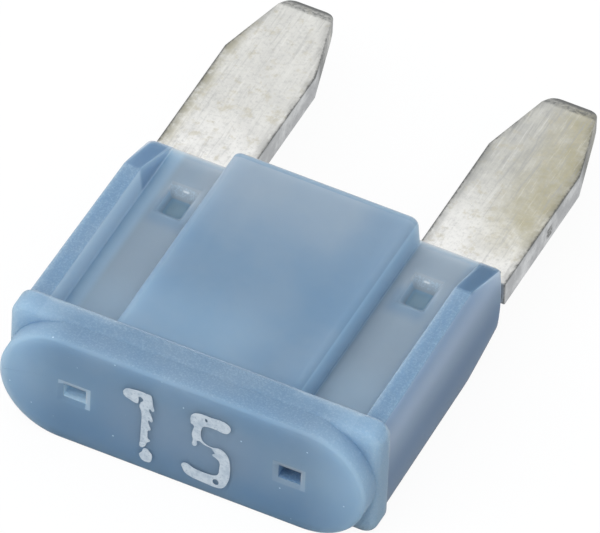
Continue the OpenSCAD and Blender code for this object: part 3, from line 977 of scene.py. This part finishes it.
def printed_figure(name, outlines):
    """Flat ink on the end face, filled between smooth closed outlines in millimetres."""
    shape = bpy.data.curves.new(name, "CURVE")
    shape.dimensions = "2D"
    shape.fill_mode = "BOTH"
    shape.extrude = INK_DEPTH / 2
    shape.bevel_depth = RIM / 2
    shape.bevel_resolution = 1
    shape.offset = -RIM / 2
    shape.resolution_u = 6
    for outline in outlines:
        spline = shape.splines.new("BEZIER")
        spline.bezier_points.add(len(outline) - 1)
        spline.use_cyclic_u = True
        for knot, (x, z) in zip(spline.bezier_points, outline):
            knot.co = (x * MM, z * MM, 0)
            knot.handle_left_type = knot.handle_right_type = "AUTO"
    piece = bpy.data.objects.new(name, shape)
    bpy.context.scene.collection.objects.link(piece)
    select_only(piece)
    bpy.ops.object.convert(target="MESH")
    on_face = Matrix.Translation((0, END_FACE * MM - INK_DEPTH / 2 - RIM / 4, 0))
    piece.data.transform(on_face @ TO_FRONT)
    print(name, "faces:", len(piece.data.polygons))
    return piece


figure_one = printed_figure("worn_one", [ONE, BLOB])
figure_five = printed_figure("worn_five", [FIVE, HOLE, FLECK])

# %% [markdown]
# The ink is thin and a little blue shows through it. Wide streaks and small pores, where it is thinner
# still, come from two noises, and the streaks are a shallow bump as well.

# %% Worn ink
INK = colour(198, 209, 218)
THIN_INK = colour(158, 176, 192)
STREAK_DEPTH = 4e-6


def worn_ink():
    material, shader = new_material("worn_ink")
    tree = material.node_tree
    point = places(tree).point
    streaks = noise(point, scale=3.2, detail=4.0, roughness=0.6)
    pores = noise(point, scale=12.0, detail=3.0, roughness=0.7)
    base = paint(INK, THIN_INK, 0.7, fade(streaks, 0.42, 0.7))
    fill(shader, {
        "Base Color": paint(base, THIN_INK, 0.8, fade(pores, 0.52, 0.66)),
        "Normal": add(tree, "Bump", {"Height": streaks, "Strength": 0.4, "Distance": STREAK_DEPTH}),
        "Roughness": 0.5,
    })
    print("ink nodes:", len(tree.nodes))
    return material


ink = worn_ink()
for piece, node in ((figure_one, "figure_one"), (figure_five, "figure_five")):
    piece.data.materials.append(ink)
    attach(piece, "root")
    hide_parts(node)
print("figures printed")

# %% [markdown]
# The photograph's background is plain white. The camera, and whatever mirrors or shows the background, sees
# the floor and the sky as white, with a trace of the floor's real shading kept, so that the fuse has a soft
# shadow. To all other light the floor is a middle grey, which keeps the fuse's lower sides darker.

# %% White floor
WHITE = (1, 1, 1, 1)
SHADE_KEPT = 0.07
FLOOR_GREY = (0.35, 0.35, 0.35, 1)
FLOOR_SIZE = 0.6


def seen_directly(tree):
    """1 for rays from the camera, a mirror or a clear surface, 0 for all other light."""
    rays = tree.nodes.new("ShaderNodeLightPath").outputs
    mirrored = either(rays["Is Camera Ray"], rays["Is Glossy Ray"])
    return either(mirrored, rays["Is Transmission Ray"])


def white_floor():
    material, shader = new_material("white_floor")
    tree = material.node_tree
    tree.nodes.remove(shader)
    grey = add(tree, "BsdfDiffuse", {"Color": FLOOR_GREY})
    shaded = add(tree, "BsdfDiffuse", {"Color": WHITE})
    white = add(tree, "Emission", {"Color": WHITE, "Strength": 1.0})
    shown = add(tree, "MixShader", {0: SHADE_KEPT, 1: white, 2: shaded})
    result = add(tree, "MixShader", {0: seen_directly(tree), 1: grey, 2: shown})
    fill(tree.nodes["Material Output"], {"Surface": result})
    return material


bpy.ops.object.select_all(action="DESELECT")
bpy.ops.mesh.primitive_plane_add(size=FLOOR_SIZE, location=(0, 0, 0))
floor = bpy.context.object
floor.name = "floor"
floor.data.materials.append(white_floor())
print("floor ready")

# %% [markdown]
# The sky is a world shader with the same switch. As light it is a soft, slightly blue dome.

# %% White sky
DOME, DOME_STRENGTH = (0.93, 0.96, 1.0, 1), 0.85

world = bpy.data.worlds.new("studio")
world.use_nodes = True
bpy.context.scene.world = world
sky = world.node_tree
dome = add(sky, "Background", {"Color": DOME, "Strength": DOME_STRENGTH})
white = add(sky, "Background", {"Color": WHITE, "Strength": 1.0})
result = add(sky, "MixShader", {0: seen_directly(sky), 1: dome, 2: white})
fill(sky.nodes["World Output"], {"Surface": result})
print("sky ready")

# %% [markdown]
# The light in the photograph is soft and comes from above, in front and a little to the left: top faces are
# bright, the end face is a shade darker, and the right side falls off towards the bottom. One large softbox
# does that. It is left out of mirrored rays, because a mirror already sees a white sky there, and the two
# together would be brighter than white on the metal.

# %% Softbox
LAMP_AZIMUTH, LAMP_ELEVATION = -20, 41
LAMP_DISTANCE, LAMP_SIZE, LAMP_WATTS = 0.5, 0.8, 1.95

lamp_data = bpy.data.lights.new("key_softbox", "AREA")
lamp_data.shape = "SQUARE"
lamp_data.size = LAMP_SIZE
lamp_data.energy = LAMP_WATTS
lamp = bpy.data.objects.new("key_softbox", lamp_data)
lamp.matrix_world = looking_at(AIM + LAMP_DISTANCE * outward(LAMP_AZIMUTH, LAMP_ELEVATION), AIM)
lamp.visible_glossy = False
bpy.context.scene.collection.objects.link(lamp)
print("softbox at", [round(c, 3) for c in lamp.matrix_world.translation])

# %% [markdown]
# The last step sets how colours are shown.

# %% How colours are shown
bpy.context.scene.view_settings.view_transform = "Standard"
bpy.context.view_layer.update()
